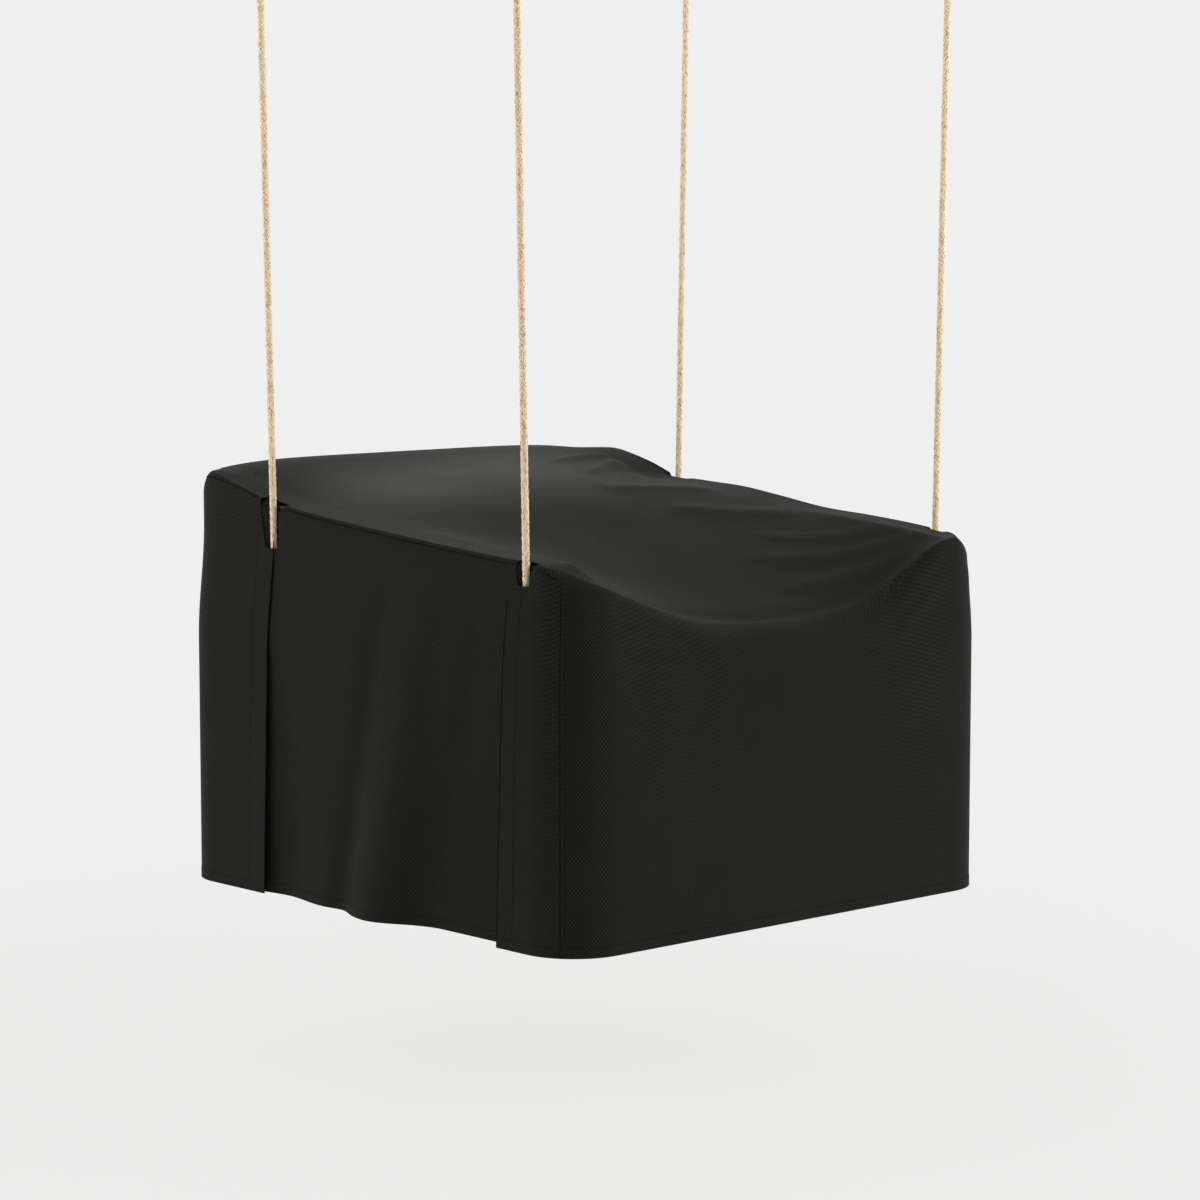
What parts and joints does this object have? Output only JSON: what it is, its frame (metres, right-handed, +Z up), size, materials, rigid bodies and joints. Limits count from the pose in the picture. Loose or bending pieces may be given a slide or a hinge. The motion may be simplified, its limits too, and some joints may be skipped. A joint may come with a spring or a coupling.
{
  "type": "covered garden swing",
  "caption": "Garden swing seat with a tailored weather cover, hung by splayed ropes from pivoting beam hangers; it swings fore and aft and sways sideways with the seat staying level",
  "frame": {"origin": "centre of the four hanger studs, on the underside of the beam", "axes": "+Z up, +X to the right of a person who sits on the swing's front side looking at it, -Y to the front"},
  "size_m": [1.11, 1.0958, 2.06],
  "materials": {
    "zinc": "zinc plated, satin",
    "bush": "pale nylon",
    "rope": "braided beige rope with brown flecks",
    "frame": "black powder coat",
    "timber": "oiled hardwood",
    "cap": "black",
    "cushion": "plain woven, sand",
    "cover": "coated twill, near black"
  },
  "bodies": {
    "seat": {"armrest_left": "timber", "armrest_right": "timber", "back_cushion": "cushion", "back_lower_rail": "frame", "back_slats": "timber", "back_top_rail": "frame", "back_upright_left": "frame", "back_upright_right": "frame", "base_cross_rails": "frame", "base_rail_left": "frame", "base_rail_right": "frame", "cover_back": "cover", "cover_flap_front_left": "cover", "cover_flap_front_right": "cover", "cover_flap_rear_left": "cover", "cover_flap_rear_right": "cover", "cover_front": "cover", "cover_side_left": "cover", "cover_side_right": "cover", "cover_top": "cover", "front_post_left": "frame", "front_post_right": "frame", "rail_end_caps": "cap", "rear_post_left": "frame", "rear_post_right": "frame", "rope_guides": "frame", "rope_tail_front_left": "rope", "rope_tail_front_right": "rope", "rope_tail_rear_left": "rope", "rope_tail_rear_right": "rope", "seat_cushion": "cushion", "seat_slats": "timber", "slat_screws": "zinc"},
    "hangers": {"beam_hangers": "zinc", "hanger_bushes": "bush", "hanger_lock_nuts": "zinc", "hanger_pivot_bolts": "zinc"},
    "bend": {"rope_bend_front_left": "rope"},
    "hanging_rope_front_left": {"rope_front_left": "rope", "thimble_front_left": "zinc"},
    "hanging_rope_front_right": {"rope_front_right": "rope", "thimble_front_right": "zinc"},
    "hanging_rope_rear_left": {"rope_rear_left": "rope", "thimble_rear_left": "zinc"},
    "hanging_rope_rear_right": {"rope_rear_right": "rope", "thimble_rear_right": "zinc"},
    "link_front_left": {"swing_link_front_left": "zinc"},
    "link_front_right": {"swing_link_front_right": "zinc"},
    "link_rear_left": {"swing_link_rear_left": "zinc"},
    "link_rear_right": {"swing_link_rear_right": "zinc"}
  },
  "joints": [
    {"name": "swing_front_left", "type": "hinge", "parent": "hangers", "child": "link_front_left", "pos_m": [-0.523, -0.343, -0.042], "axis": [1, 0, 0], "range_deg": [-10, 10]},
    {"name": "sway_front_left", "type": "hinge", "parent": "link_front_left", "child": "hanging_rope_front_left", "pos_m": [-0.523, -0.343, -0.096], "axis": [0, 1, 0], "range_deg": [-3, 3]},
    {"name": "swing_front_right", "type": "hinge", "parent": "hangers", "child": "link_front_right", "pos_m": [0.523, -0.343, -0.042], "axis": [1, 0, 0], "range_deg": [-10, 10]},
    {"name": "sway_front_right", "type": "hinge", "parent": "link_front_right", "child": "hanging_rope_front_right", "pos_m": [0.523, -0.343, -0.096], "axis": [0, 1, 0], "range_deg": [-3, 3]},
    {"name": "swing_rear_left", "type": "hinge", "parent": "hangers", "child": "link_rear_left", "pos_m": [-0.523, 0.343, -0.042], "axis": [1, 0, 0], "range_deg": [-10, 10]},
    {"name": "sway_rear_left", "type": "hinge", "parent": "link_rear_left", "child": "hanging_rope_rear_left", "pos_m": [-0.523, 0.343, -0.096], "axis": [0, 1, 0], "range_deg": [-3, 3]},
    {"name": "swing_rear_right", "type": "hinge", "parent": "hangers", "child": "link_rear_right", "pos_m": [0.523, 0.343, -0.042], "axis": [1, 0, 0], "range_deg": [-10, 10]},
    {"name": "sway_rear_right", "type": "hinge", "parent": "link_rear_right", "child": "hanging_rope_rear_right", "pos_m": [0.523, 0.343, -0.096], "axis": [0, 1, 0], "range_deg": [-3, 3]},
    {"name": "level_sideways", "type": "hinge", "parent": "hanging_rope_front_left", "child": "bend", "pos_m": [-0.5, -0.343, -1.332], "axis": [0, 1, 0], "range_deg": [-3.14, 3.14]},
    {"name": "level_fore_aft", "type": "hinge", "parent": "bend", "child": "seat", "pos_m": [-0.5, -0.343, -1.332], "axis": [1, 0, 0], "range_deg": [-10, 10]}
  ],
  "couplings": [
    {"joint": "swing_front_right", "follows": "swing_front_left", "ratio": 1},
    {"joint": "sway_front_right", "follows": "sway_front_left", "ratio": 1},
    {"joint": "swing_rear_left", "follows": "swing_front_left", "ratio": 1},
    {"joint": "sway_rear_left", "follows": "sway_front_left", "ratio": 1},
    {"joint": "swing_rear_right", "follows": "swing_front_left", "ratio": 1},
    {"joint": "sway_rear_right", "follows": "sway_front_left", "ratio": 1},
    {"joint": "level_sideways", "follows": "sway_front_left", "ratio": -1.046},
    {"joint": "level_fore_aft", "follows": "swing_front_left", "ratio": -1}
  ]
}
